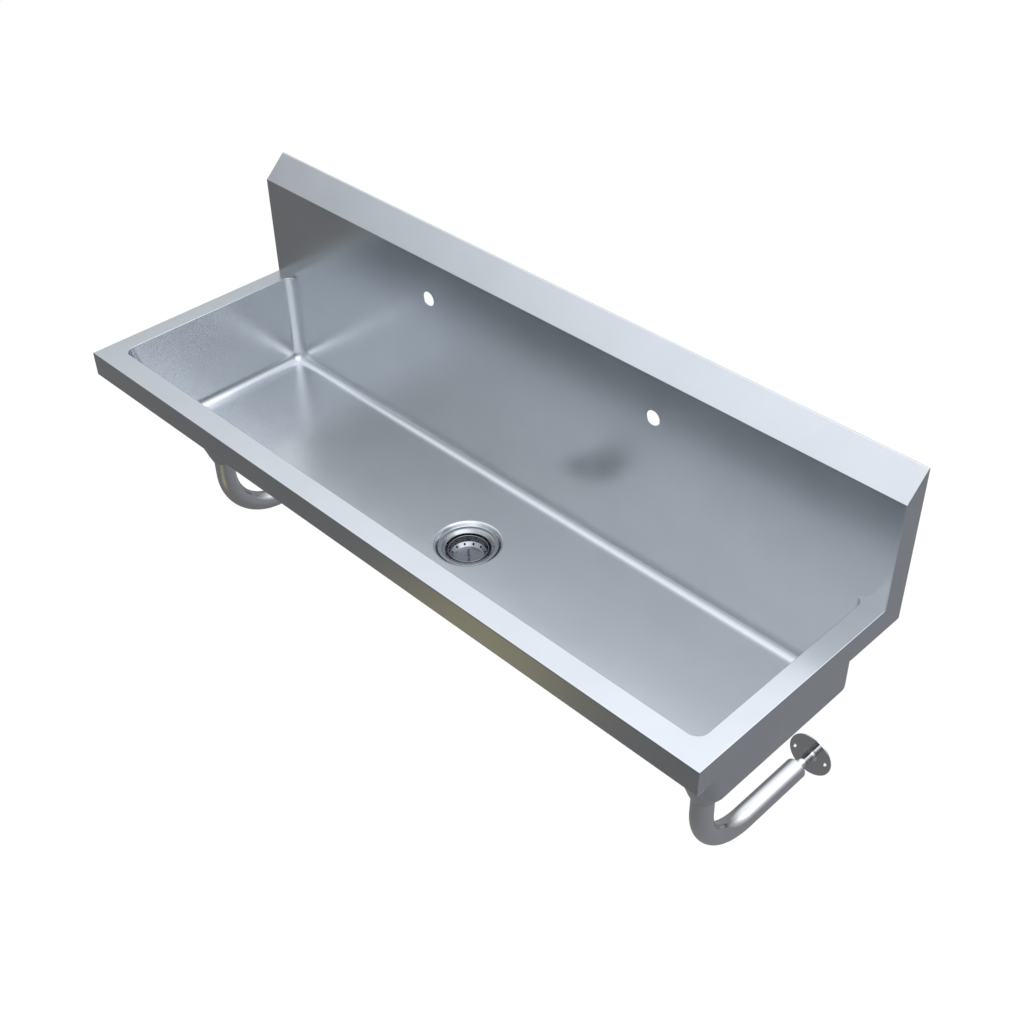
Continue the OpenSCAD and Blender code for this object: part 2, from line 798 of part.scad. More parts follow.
bowl();
rim_deck();
front_apron();
splashback();
left() end_panel();  // left_end_panel
end_panel();  // right_end_panel
hanger_channel();
wall_rail();
left() socket();  // left_socket
socket();  // right_socket
left() stay_tube();  // left_stay_tube
stay_tube();  // right_stay_tube
left() end_bush();  // left_end_bush
end_bush();  // right_end_bush
left() rod();  // left_rod
rod();  // right_rod
left() wall_flange();  // left_wall_flange
wall_flange();  // right_wall_flange
left() flange_collar();  // left_flange_collar
flange_collar();  // right_flange_collar
union() {  // lock_screws
    color("dimgray") lock_screw();
    color("dimgray") left() lock_screw();
}
waste_body();
waste_gasket();
waste_washer();
slip_ring();
waste_locknut();
basket();
basket_post();
basket_seal();
seal_nut();
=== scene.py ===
import math

import bmesh
import bpy
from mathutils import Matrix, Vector


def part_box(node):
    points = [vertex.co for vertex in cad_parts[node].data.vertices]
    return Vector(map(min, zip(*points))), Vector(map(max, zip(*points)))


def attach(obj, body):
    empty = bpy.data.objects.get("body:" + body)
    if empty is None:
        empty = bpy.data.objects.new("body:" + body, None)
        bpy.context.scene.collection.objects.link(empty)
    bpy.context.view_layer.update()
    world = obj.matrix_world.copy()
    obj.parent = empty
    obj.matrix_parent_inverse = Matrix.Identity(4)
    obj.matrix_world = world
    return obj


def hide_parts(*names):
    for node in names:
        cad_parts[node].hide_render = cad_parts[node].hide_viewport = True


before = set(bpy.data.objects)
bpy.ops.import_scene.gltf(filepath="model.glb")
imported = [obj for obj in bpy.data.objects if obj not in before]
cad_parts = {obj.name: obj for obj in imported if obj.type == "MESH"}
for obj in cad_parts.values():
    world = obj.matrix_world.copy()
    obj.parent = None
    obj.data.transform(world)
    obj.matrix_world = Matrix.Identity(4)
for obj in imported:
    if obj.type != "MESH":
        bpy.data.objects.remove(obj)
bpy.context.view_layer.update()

MM = 0.001

# Camera. It stands in front of the right-hand end, above the rim, and looks down at the middle.
# Its place, aim and lens are the ones worked out from the corners of the trough.
camera_place = Vector((1.1850, -1.2309, 1.1798))
camera_aim = Vector((-0.5394, 0.5572, -0.6313))
bpy.ops.object.select_all(action="DESELECT")
bpy.ops.object.camera_add(location=camera_place,
                          rotation=camera_aim.to_track_quat("-Z", "Y").to_euler())
camera = bpy.context.object
camera.data.sensor_width = 36
camera.data.lens = 49.80
camera.data.shift_x = -0.0371
camera.data.shift_y = 0.0024
bpy.context.scene.camera = camera


# Bowl and rim. The bowl is deep-drawn from 1.2 mm stainless sheet, with a rebate pressed into its
# floor for the waste. It is welded into the flat rim and the joint is ground smooth, so the two
# are one skin: satin inside and out, with a small round where the rim turns down into the bowl.
sheet = 1.2 * MM
deck_low, deck_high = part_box("rim_deck")
panel_low, panel_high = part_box("right_end_panel")
rim_end_width = 30 * MM
rim_front_width = 36 * MM
front_lean = 46.6667 * MM
cove = 16 * MM
cove_steps = 12
# A cove of the same radius takes less of each face where the leaning wall opens the corner
lean_cove_share = 0.75
floor_z = -160 * MM
opening_x = panel_high.x - rim_end_width
opening_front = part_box("front_apron")[0].y + rim_front_width
opening_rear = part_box("splashback")[0].y
waste_low, waste_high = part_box("waste_body")
waste_centre = Vector((0, (waste_low.y + waste_high.y) / 2, 0))
round_steps = 96
# The rebate: how far out from the waste's axis and how far below the floor each ring lies
rebate_rings = [(54.0, 0), (51.6, 0), (50.6, 0.2), (49.6, 0.8), (48.8, 1.7), (48.0, 2.9), (47.1, 4.4),
                (46.3, 5.7), (45.7, 6.5), (44.9, 6.9), (44.0, 7.0), (39.0, 7.0)]
lip_round = 0.7 * MM
lip_steps = 4


def srgb(colour):
    """The linear colour of an sRGB hex value."""
    channels = [int(colour[i:i + 2], 16) / 255 for i in (1, 3, 5)]
    return [c / 12.92 if c <= 0.04045 else ((c + 0.055) / 1.055) ** 2.4 for c in channels] + [1]


def add(tree, kind, sockets, **settings):
    """Adds a node. Each socket takes a value, or the output of another node."""
    made = tree.nodes.new(kind)
    for name, value in settings.items():
        setattr(made, name, value)
    for socket, value in sockets.items():
        if isinstance(value, bpy.types.NodeSocket):
            tree.links.new(value, made.inputs[socket])
        else:
            made.inputs[socket].default_value = value
    return made


def steel(name, dark, light, rough, rough_spread, line, line_height, wave_height):
    """Stainless steel, ground along X with lines of the given size, on a sheet that is never quite flat.

    dark and light are the sRGB colours of the metal between its cleanest and dullest patches.
    line is the length and the width of a grinding line, line_height its depth, wave_height the
    depth of the sheet's slow waves."""
    material = bpy.data.materials.new(name)
    material.use_nodes = True
    tree = material.node_tree
    shader = tree.nodes["Principled BSDF"]
    shader.inputs["Metallic"].default_value = 1
    place = add(tree, "ShaderNodeTexCoord", {}).outputs["Object"]
    lines = add(tree, "ShaderNodeMapping", {"Vector": place,
                                            "Scale": (1 / line[0], 1 / line[1], 1 / line[1])})
    grain = add(tree, "ShaderNodeTexNoise", {"Vector": lines.outputs["Vector"], "Scale": 1,
                                             "Detail": 3, "Roughness": 0.6})
    patch = add(tree, "ShaderNodeTexNoise", {"Vector": place, "Scale": 1 / (90 * MM), "Detail": 4,
                                             "Roughness": 0.55})
    wave = add(tree, "ShaderNodeTexNoise", {"Vector": place, "Scale": 1 / (160 * MM), "Detail": 1})
    tint = add(tree, "ShaderNodeMix", {"Factor": patch.outputs["Fac"], 6: srgb(dark),
                                       7: srgb(light)}, data_type="RGBA")
    tree.links.new(tint.outputs[2], shader.inputs["Base Color"])
    both = add(tree, "ShaderNodeMath", {0: grain.outputs["Fac"], 1: patch.outputs["Fac"]},
               operation="ADD")
    dull = add(tree, "ShaderNodeMapRange", {"Value": both.outputs["Value"], "From Min": 0.6,
                                            "From Max": 1.4, "To Min": rough - rough_spread,
                                            "To Max": rough + rough_spread})
    tree.links.new(dull.outputs["Result"], shader.inputs["Roughness"])
    scratches = add(tree, "ShaderNodeBump", {"Height": grain.outputs["Fac"],
                                             "Distance": line_height})
    waves = add(tree, "ShaderNodeBump", {"Height": wave.outputs["Fac"], "Distance": wave_height,
                                         "Normal": scratches.outputs["Normal"]})
    tree.links.new(waves.outputs["Normal"], shader.inputs["Normal"])
    return material


def pick(piece, kind, test):
    """In edit mode, selects only the vertices, edges or faces with every corner inside the test."""
    bpy.ops.mesh.select_mode(type=kind)
    bpy.ops.mesh.select_all(action="DESELECT")
    mesh = bmesh.from_edit_mesh(piece.data)
    found = {"VERT": mesh.verts, "EDGE": mesh.edges, "FACE": mesh.faces}[kind]
    for element in found:
        corners = [element] if kind == "VERT" else element.verts
        element.select = all(test(v.co) for v in corners)
    mesh.select_flush_mode()
    bmesh.update_edit_mesh(piece.data)


def near(a, b):
    return abs(a - b) < 1e-5


def choose(*pieces):
    """Selects these pieces and no others, and makes the first one active."""
    bpy.ops.object.select_all(action="DESELECT")
    for piece in pieces:
        piece.select_set(True)
    bpy.context.view_layer.objects.active = pieces[0]


def apply_modifier(piece, kind, **settings):
    """Puts a modifier on the piece and makes it part of the mesh."""
    modifier = piece.modifiers.new(kind.lower(), kind)
    for name, value in settings.items():
        setattr(modifier, name, value)
    choose(piece)
    bpy.ops.object.modifier_apply(modifier=modifier.name)


smooth_angle = math.radians(38)


def hand_over(piece, name, material, slot, body, *nodes):
    """Smooths what is rounded, keeps what is flat flat, and lets the piece stand for its nodes."""
    piece.name = name
    choose(piece)
    bpy.ops.object.transform_apply(location=True, rotation=True, scale=True)
    bpy.ops.object.shade_smooth_by_angle(angle=smooth_angle)
    apply_modifier(piece, "WEIGHTED_NORMAL", keep_sharp=True, weight=80)
    piece.data.materials.clear()
    piece.data.materials.append(material)
    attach(piece, body)
    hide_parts(*nodes)


def settled():
    """The new piece, with its place, turn and scale written into its mesh."""
    bpy.ops.object.transform_apply(location=True, rotation=True, scale=True)
    return bpy.context.object


def block(low, high):
    """A box between two corners, as a new piece."""
    middle = (Vector(low) + Vector(high)) / 2
    bpy.ops.object.select_all(action="DESELECT")
    bpy.ops.mesh.primitive_cube_add(size=1, location=middle, scale=Vector(high) - Vector(low))
    return settled()


def grow_ring(centre, share, rise):
    """Draws the selected ring of edges out into a new ring, scaled about the centre and moved up."""
    bpy.ops.mesh.extrude_edges_move()
    bpy.ops.transform.resize(value=(share, share, 1), center_override=centre)
    bpy.ops.transform.translate(value=(0, 0, rise))


satin = steel("satin_stainless_sheet", "#c3c6c9", "#cfd2d5", 0.25, 0.01, (60 * MM, 0.9 * MM),
              0.0004 * MM, 0.004 * MM)
bowl = block((-opening_x, opening_front, floor_z), (opening_x, opening_rear, 0))
bpy.ops.object.mode_set(mode="EDIT")
pick(bowl, "VERT", lambda p: near(p.y, opening_front) and near(p.z, floor_z))
bpy.ops.transform.translate(value=(0, front_lean, 0))
pick(bowl, "FACE", lambda p: near(p.z, 0))
bpy.ops.mesh.delete(type="FACE")
pick(bowl, "EDGE", lambda p: near(p.z, floor_z))
bpy.ops.transform.edge_bevelweight(value=1)
for side in (-1, 1):
    for rear in (True, False):
        pick(bowl, "EDGE", lambda p: near(p.x, side * opening_x)
             and (p.y > waste_centre.y) == rear)
        bpy.ops.transform.edge_bevelweight(value=1)
pick(bowl, "EDGE", lambda p: near(p.z, floor_z) and p.y < waste_centre.y)
bpy.ops.transform.edge_bevelweight(value=lean_cove_share - 1)
bpy.ops.object.mode_set(mode="OBJECT")
apply_modifier(bowl, "BEVEL", limit_method="WEIGHT", width=cove, segments=cove_steps)

bpy.ops.object.mode_set(mode="EDIT")
pick(bowl, "FACE", lambda p: near(p.z, floor_z))
bpy.ops.mesh.delete(type="ONLY_FACE")
first_ring = rebate_rings[0][0]
floor_centre = waste_centre + Vector((0, 0, floor_z))
bpy.ops.mesh.primitive_circle_add(vertices=round_steps, radius=first_ring * MM,
                                  location=floor_centre)
pick(bowl, "EDGE", lambda p: near(p.z, floor_z))
bpy.ops.mesh.fill(use_beauty=True)
pick(bowl, "EDGE", lambda p: near(p.z, floor_z) and (p - floor_centre).length < first_ring * MM * 1.01)
for (r, drop), (next_r, next_drop) in zip(rebate_rings, rebate_rings[1:]):
    grow_ring(floor_centre, next_r / r, (drop - next_drop) * MM)

corner_x = opening_x - cove


def under_splashback(edge):
    """True for the bowl's straight rear edge, which the splashback's sheet covers."""
    middle = (edge.verts[0].co + edge.verts[1].co) / 2
    return near(middle.y, opening_rear) and abs(middle.x) < corner_x


def ends_of(edge):
    """Where an edge's two ends are, in an order that doesn't depend on the edge's direction."""
    return tuple(sorted((tuple(edge.verts[0].co), tuple(edge.verts[1].co))))


pick(bowl, "EDGE", lambda p: near(p.z, 0))
mesh = bmesh.from_edit_mesh(bowl.data)
for edge in mesh.edges:
    if under_splashback(edge):
        edge.select_set(False)
bmesh.update_edit_mesh(bowl.data)
lip = [ends_of(edge) for edge in mesh.edges if edge.select]
pick(bowl, "VERT", lambda p: near(p.z, 0) and near(p.x, corner_x) and near(p.y, opening_rear))
for step in ((deck_high.x - corner_x, 0, 0), (0, deck_low.y - opening_rear, 0),
             (2 * deck_low.x, 0, 0), (0, opening_rear - deck_low.y, 0),
             (deck_high.x - corner_x, 0, 0)):
    bpy.ops.mesh.extrude_vertices_move(TRANSFORM_OT_translate={"value": step})
bpy.ops.mesh.select_all(action="SELECT")
bpy.ops.mesh.remove_doubles(threshold=0.01 * MM)
mesh = bmesh.from_edit_mesh(bowl.data)
bpy.ops.mesh.select_mode(type="EDGE")
bpy.ops.mesh.select_all(action="DESELECT")
for edge in mesh.edges:
    flat = all(near(v.co.z, 0) for v in edge.verts)
    edge.select = flat and not under_splashback(edge)
bmesh.update_edit_mesh(bowl.data)
bpy.ops.mesh.edge_face_add()
bpy.ops.mesh.select_all(action="DESELECT")
mesh = bmesh.from_edit_mesh(bowl.data)
for edge in mesh.edges:
    edge.select = ends_of(edge) in lip
bmesh.update_edit_mesh(bowl.data)
bpy.ops.mesh.bevel(offset=lip_round, segments=lip_steps, affect="EDGES")
bpy.ops.mesh.select_all(action="SELECT")
bpy.ops.mesh.normals_make_consistent(inside=False)
pick(bowl, "FACE", lambda p: near(p.z, 0))
bpy.ops.mesh.quads_convert_to_tris(quad_method="BEAUTY", ngon_method="CLIP")
bpy.ops.object.mode_set(mode="OBJECT")
top = max(bowl.data.polygons, key=lambda face: face.center.z + face.area)
if top.normal.z < 0:
    bowl.data.flip_normals()
apply_modifier(bowl, "SOLIDIFY", thickness=sheet, offset=-1)
for vertex in bowl.data.vertices:
    vertex.co.z = min(vertex.co.z, 0)
hand_over(bowl, "bowl_and_rim", satin, "satin_sheet", "trough", "bowl", "rim_deck")


# Folded sheets: the apron strip, the splashback and the two end panels. Each is cut from the same
# 1.2 mm sheet and folded on a press, so its folds are round and its cut edges are thin.
fold_r = 2 * MM
fold_steps = 5
# The apron's top leg is only as wide as a fold, so its fold is a hair tighter
apron_fold_r = fold_r * 0.98
# The panels' top edge is ground after welding, which leaves less of its fold
panel_top_r = fold_r * 0.4


def folded(line, ends, radius, thickness, outward):
    """A sheet folded along X: line gives the corners of its outer side in Y and Z, and outward is
    the direction that its first face looks in."""
    (y0, z0), (y1, z1) = line[:2]
    bpy.ops.object.select_all(action="DESELECT")
    bpy.ops.mesh.primitive_plane_add(
        size=1, location=(sum(ends) / 2, (y0 + y1) / 2, (z0 + z1) / 2),
        rotation=(math.atan2(z1 - z0, y1 - y0), 0, 0))
    piece = bpy.context.object
    piece.scale = (ends[1] - ends[0], math.hypot(y1 - y0, z1 - z0), 1)
    settled()
    bpy.ops.object.mode_set(mode="EDIT")
    for (y, z), (next_y, next_z) in zip(line[1:], line[2:]):
        pick(piece, "EDGE", lambda p: near(p.y, y) and near(p.z, z))
        bpy.ops.mesh.extrude_edges_move(
            TRANSFORM_OT_translate={"value": (0, next_y - y, next_z - z)})
    bpy.ops.mesh.select_all(action="SELECT")
    bpy.ops.mesh.normals_make_consistent(inside=False)
    for before, here, after in zip(line, line[1:], line[2:]):
        turn = abs(math.atan2(after[1] - here[1], after[0] - here[0])
                   - math.atan2(here[1] - before[1], here[0] - before[0]))
        turn = min(turn, 2 * math.pi - turn)
        pick(piece, "EDGE", lambda p: near(p.y, here[0]) and near(p.z, here[1]))
        bpy.ops.mesh.bevel(offset=radius * math.tan(turn / 2), segments=fold_steps,
                           affect="EDGES")
    bpy.ops.object.mode_set(mode="OBJECT")
    first = min(piece.data.polygons,
                key=lambda face: (face.center - Vector((face.center.x, (y0 + y1) / 2,
                                                        (z0 + z1) / 2))).length)
    if first.normal.dot(Vector(outward)) < 0:
        piece.data.flip_normals()
    apply_modifier(piece, "SOLIDIFY", thickness=thickness, offset=-1)
    return piece


def cut(piece, cutter):
    """Takes the cutter's shape out of the piece."""
    apply_modifier(piece, "BOOLEAN", operation="DIFFERENCE", object=cutter, solver="EXACT")
    bpy.data.objects.remove(cutter)


# How far a cutter goes past what it cuts
past = 9 * MM


def rod_cutter(radius, low, high):
    """A long round cutter between two points on one axis."""
    low, high = Vector(low), Vector(high)
    bpy.ops.object.select_all(action="DESELECT")
    bpy.ops.mesh.primitive_cylinder_add(
        vertices=64, radius=radius, depth=(high - low).length, location=(low + high) / 2,
        rotation=(high - low).to_track_quat("Z", "Y").to_euler())
    return settled()


apron_low, apron_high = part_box("front_apron")
apron = folded([(deck_low.y, 0), (apron_low.y, 0), (apron_low.y, apron_low.z),
                (apron_high.y, apron_low.z)], (apron_low.x, apron_high.x),
               apron_fold_r, sheet, (0, 0, 1))
hand_over(apron, "front_apron_strip", satin, "satin_sheet", "trough", "front_apron")

splash_low, splash_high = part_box("splashback")
splash_face_top = 163.5 * MM
splash_flange = 25 * MM
tap_x = 220 * MM
tap_z = 100 * MM
tap_r = 11.5 * MM
splash = folded([(opening_rear, 0), (opening_rear, splash_face_top), (0, splash_high.z),
                 (0, splash_high.z - splash_flange)], (splash_low.x, splash_high.x),
                fold_r, sheet, (0, -1, 0))
for x in (-tap_x, tap_x):
    cut(splash, rod_cutter(tap_r, (x, opening_rear - past, tap_z), (x, 0, tap_z)))
hand_over(splash, "splashback_sheet", satin, "satin_sheet", "trough", "splashback")

return_width = 14 * MM
# How far the splashback's sheet turns at its two folds, which the panels' outline follows
slope_turn = math.atan2(-opening_rear, splash_high.z - splash_face_top)
top_turn = math.pi - slope_turn
for side, node in ((-1, "left_end_panel"), (1, "right_end_panel")):
    bpy.ops.object.select_all(action="DESELECT")
    skin_x = side * panel_high.x
    bpy.ops.mesh.primitive_plane_add(
        size=1, location=(skin_x, (panel_low.y + opening_rear) / 2, panel_low.z / 2),
        rotation=(0, math.pi / 2, 0))
    panel = bpy.context.object
    panel.scale = (-panel_low.z, opening_rear - panel_low.y, 1)
    settled()
    bpy.ops.object.mode_set(mode="EDIT")
    pick(panel, "EDGE", lambda p: near(p.y, opening_rear))
    bpy.ops.mesh.extrude_edges_move(TRANSFORM_OT_translate={"value": (0, -opening_rear, 0)})
    pick(panel, "EDGE", lambda p: near(p.z, 0) and p.y > opening_rear - MM)
    bpy.ops.mesh.extrude_edges_move(TRANSFORM_OT_translate={"value": (0, 0, splash_face_top)})
    pick(panel, "VERT", lambda p: near(p.z, splash_face_top) and near(p.y, 0))
    bpy.ops.transform.translate(value=(0, 0, splash_high.z - splash_face_top))
    pick(panel, "EDGE", lambda p: near(p.z, 0) and p.y < opening_rear + MM)
    bpy.ops.mesh.extrude_edges_move(TRANSFORM_OT_translate={"value": (-side * fold_r, 0, 0)})
    pick(panel, "EDGE", lambda p: near(p.z, panel_low.z))
    bpy.ops.mesh.extrude_edges_move(TRANSFORM_OT_translate={"value": (-side * return_width, 0, 0)})
    bpy.ops.mesh.select_all(action="SELECT")
    bpy.ops.mesh.normals_make_consistent(inside=False)
    pick(panel, "EDGE", lambda p: near(p.z, 0) and near(p.x, skin_x) and p.y < opening_rear + MM)
    bpy.ops.mesh.bevel(offset=panel_top_r, segments=fold_steps, affect="EDGES")
    pick(panel, "EDGE", lambda p: near(p.z, panel_low.z) and near(p.x, skin_x))
    bpy.ops.mesh.bevel(offset=fold_r, segments=fold_steps, affect="EDGES")
    for y, z, turn in ((opening_rear, splash_face_top, slope_turn), (0, splash_high.z, top_turn)):
        pick(panel, "VERT", lambda p: near(p.y, y) and near(p.z, z) and near(p.x, skin_x))
        bpy.ops.mesh.bevel(offset=fold_r * math.tan(turn / 2), segments=fold_steps,
                           affect="VERTICES")
    bpy.ops.object.mode_set(mode="OBJECT")
    outer = max(panel.data.polygons, key=lambda face: face.area)
    if outer.normal.x * side < 0:
        panel.data.flip_normals()
    apply_modifier(panel, "SOLIDIFY", thickness=sheet, offset=-1)
    hand_over(panel, node + "_skin", satin, "satin_sheet", "trough", node)


# Hanging rail and hook, behind the splashback. Both are 2 mm stainless sheet, folded and left with
# the mill's dull finish. The hook is welded to the splashback and drops over the rail's lip.
mill = steel("mill_finish_stainless", "#a9abad", "#babcbe", 0.38, 0.06, (25 * MM, 1.5 * MM),
             0.004 * MM, 0.05 * MM)
rail_sheet = 2 * MM
rail_fold_r = 1.6 * MM
hook_fold_r = 2.5 * MM
rail_low, rail_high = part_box("wall_rail")
hook_low, hook_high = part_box("hanger_channel")
rail_step_z = 24 * MM
hook_lip = 26 * MM
rail_slots = (-450 * MM, -150 * MM, 150 * MM, 450 * MM)
slot_r = 3.5 * MM
slot_half = 4.5 * MM
# A hair less than the radius, so that the straight part of a slot doesn't touch its round ends
slot_side = slot_r * 0.999
rail = folded([(0, rail_low.z), (0, rail_step_z + rail_sheet),
               (rail_low.y + rail_sheet, rail_step_z + rail_sheet),
               (rail_low.y + rail_sheet, rail_high.z)], (rail_low.x, rail_high.x),
              rail_fold_r, rail_sheet, (0, 1, 0))
for x in rail_slots:
    for end in (-slot_half, slot_half):
        cut(rail, rod_cutter(slot_r, (x + end, -past, 0), (x + end, past, 0)))
    cut(rail, block((x - slot_half, -past, -slot_side), (x + slot_half, past, slot_side)))
hand_over(rail, "hanging_rail", mill, "mill_sheet", "trough", "wall_rail")
hook = folded([(hook_low.y, hook_low.z), (hook_low.y, hook_high.z),
               (hook_high.y, hook_high.z), (hook_high.y, hook_high.z - hook_lip)],
              (hook_low.x, hook_high.x), hook_fold_r, rail_sheet, (0, -1, 0))
hand_over(hook, "hanging_hook", mill, "mill_sheet", "trough", "hanger_channel")


# Sockets. Each is a cone spun from 1.5 mm stainless, polished, with a narrow foot welded flat
# under the bowl and a mouth at its lower end that is welded round the stay's tube.
def turned(rings, centre, axis="Z"):
    """A turned piece: rings gives radius and height of each ring, in mm, and ends where it began
    or on the axis. Height runs along +Z, or along +Y where axis is Y."""
    bpy.ops.object.select_all(action="DESELECT")
    bpy.ops.mesh.primitive_circle_add(vertices=round_steps, radius=rings[0][0] * MM,
                                      location=(0, 0, rings[0][1] * MM))
    piece = settled()
    bpy.ops.object.mode_set(mode="EDIT")
    bpy.ops.mesh.select_all(action="SELECT")
    for (r, h), (next_r, next_h) in zip(rings, rings[1:]):
        grow_ring((0, 0, 0), next_r / r, (next_h - h) * MM)
    bpy.ops.mesh.select_all(action="SELECT")
    bpy.ops.mesh.remove_doubles(threshold=0.002 * MM)
    bpy.ops.mesh.normals_make_consistent(inside=False)
    bpy.ops.object.mode_set(mode="OBJECT")
    if axis == "Y":
        piece.rotation_euler = (-math.pi / 2, 0, 0)
    piece.location = centre
    return settled()


def bend(centre, radius, start, end, steps):
    """Rings of a round edge: centre is its radius and height, angles are in degrees."""
    return [(centre[0] + radius * math.cos(math.radians(start + (end - start) * i / steps)),
             centre[1] + radius * math.sin(math.radians(start + (end - start) * i / steps)))
            for i in range(steps + 1)]


spun = steel("spun_polished_stainless", "#bdbfc0", "#cbcdce", 0.17, 0.03, (14 * MM, 0.9 * MM),
             0.001 * MM, 0.02 * MM)
socket_low, socket_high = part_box("right_socket")
stay_x = (socket_low.x + socket_high.x) / 2
stay_y = (socket_low.y + socket_high.y) / 2
tube_r = 16
socket_rings = [(46, 0), (46, -1.5), (42.6, -1.6), (41.4, -2.9), (34.5, -23.6), (27.6, -44.2),
                (22.4, -58.8), (19.6, -65.6), (18.3, -68.8), (17.6, -70.4), (17.2, -71),
                (16.06, -71), (16.06, -69.5), (40.5, -1.6), (40.5, 0), (46, 0)]
for side, name in ((-1, "left"), (1, "right")):
    cone = turned(socket_rings, (side * stay_x, stay_y, socket_high.z))
    hand_over(cone, name + "_spun_socket", spun, "spun_cone", "trough", name + "_socket")


# Stays. Each is a 32 mm stainless tube with a 2 mm wall, drawn round a quarter bend of 99 mm
# radius and polished bright, so it carries long narrow highlights along its length.
bright_tube = steel("polished_stainless_tube", "#d2d3d4", "#dddedf", 0.17, 0.03,
                    (40 * MM, 1.2 * MM), 0.0008 * MM, 0.01 * MM)
tube_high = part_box("right_stay_tube")[1]
bend_r = 99 * MM
stay_z = -362 * MM
tube_wall = 2 * MM
bend_steps = 28
lock_y = tube_high.y - 16 * MM
screw_hole_r = 3.05 * MM
screw_hole_reach = 30 * MM
for side, name in ((-1, "left"), (1, "right")):
    x = side * stay_x
    bpy.ops.object.select_all(action="DESELECT")
    bpy.ops.mesh.primitive_circle_add(vertices=round_steps, radius=tube_r * MM,
                                      location=(x, stay_y, tube_high.z))
    tube = settled()
    bpy.ops.object.mode_set(mode="EDIT")
    bpy.ops.mesh.select_all(action="SELECT")
    bpy.ops.mesh.extrude_edges_move(
        TRANSFORM_OT_translate={"value": (0, 0, stay_z + bend_r - tube_high.z)})
    bpy.ops.mesh.spin(steps=bend_steps, angle=-math.pi / 2, axis=(1, 0, 0),
                      center=(x, stay_y + bend_r, stay_z + bend_r))
    bpy.ops.mesh.extrude_edges_move(
        TRANSFORM_OT_translate={"value": (0, tube_high.y - stay_y - bend_r, 0)})
    bpy.ops.mesh.select_all(action="SELECT")
    bpy.ops.mesh.remove_doubles(threshold=0.01 * MM)
    bpy.ops.mesh.normals_make_consistent(inside=False)
    bpy.ops.object.mode_set(mode="OBJECT")
    apply_modifier(tube, "SOLIDIFY", thickness=tube_wall, offset=-1)
    cut(tube, rod_cutter(screw_hole_r, (x, lock_y, stay_z - screw_hole_reach),
                         (x, lock_y, stay_z)))
    hand_over(tube, name + "_stay", bright_tube, "polished_tube", "trough", name + "_stay_tube")


# End bushes, rods, flanges and lock screws. The bush is turned stainless, pushed into the tube
# until its rounded lip meets the tube's end. A bright drawn rod slides in it and is welded to a
# round flange of 3 mm plate, polished like a mirror. A hex-headed screw below locks the rod.
rod_r = 8
rod_length = 107
rod_bore = 8.05
flange_r = 35
flange_plate = 3
flange_edge = 0.7
collar_rise = 3.5
hole_half = 26 * MM
hole_r = 3.25 * MM
screw_r = 3
screw_head = 3.6
bright_rod = steel("bright_drawn_bar", "#d6d7d8", "#e0e1e2", 0.10, 0.03, (30 * MM, 1 * MM),
                   0.0008 * MM, 0.005 * MM)
mirror_plate = steel("mirror_polished_plate", "#c4c5c5", "#cecfcf", 0.07, 0.02,
                     (20 * MM, 1 * MM), 0.0004 * MM, 0.005 * MM)
screw_steel = steel("plain_screw_steel", "#8d9094", "#a0a3a6", 0.32, 0.05, (3 * MM, 0.5 * MM),
                    0.004 * MM, 0.005 * MM)
bush_rings = ([(rod_bore, -30), (13.95, -30), (13.95, 0), (15.7, 0), (tube_r, 0.3)]
              + bend((14.5, 2), 1.5, 0, 90, 6) + [(9.0, 3.5), (rod_bore, 2.9), (rod_bore, -30)])
# A ring on the axis keeps this radius, because a ring of none can't be drawn out
tip = 0.001
rod_rings = [(tip, 0), (rod_r - 1, 0), (rod_r, 1), (rod_r, rod_length), (tip, rod_length)]
flange_rings = ([(tip, 0), (flange_r - 0.8, 0), (flange_r, 0.8)]
                + bend((flange_r - flange_edge, flange_plate - flange_edge), flange_edge, 0, 90, 4)
                + [(tip, flange_plate)])
collar_rings = [(rod_bore, 0.0), (9.2, 0.1), (9.7, 0.8), (10.4, 1.9), (11.3, 2.8), (12, 3.45),
                (12, collar_rise), (rod_bore, collar_rise), (rod_bore, 0.0)]
for side, name in ((-1, "left"), (1, "right")):
    x = side * stay_x
    foot = name + "_foot"
    bush = turned(bush_rings, (x, tube_high.y, stay_z), "Y")
    cut(bush, rod_cutter(screw_hole_r, (x, lock_y, stay_z - screw_hole_reach),
                         (x, lock_y, stay_z)))
    hand_over(bush, name + "_tube_bush", bright_tube, "polished_tube", "trough",
              name + "_end_bush")
    rod = turned(rod_rings, (x, -(flange_plate + rod_length) * MM, stay_z), "Y")
    hand_over(rod, name + "_sliding_rod", bright_rod, "bright_rod", foot, name + "_rod")
    plate = turned([(r, flange_plate - h) for r, h in flange_rings],
                   (x, -flange_plate * MM, stay_z), "Y")
    for offset in (-hole_half, hole_half):
        cut(plate, rod_cutter(hole_r, (x + offset, -past, stay_z), (x + offset, past, stay_z)))
    hand_over(plate, name + "_flange_plate", mirror_plate, "mirror_flange", foot,
              name + "_wall_flange")
    collar = turned(collar_rings, (x, -(flange_plate + collar_rise) * MM, stay_z), "Y")
    hand_over(collar, name + "_rod_collar", bright_rod, "bright_rod", foot,
              name + "_flange_collar")

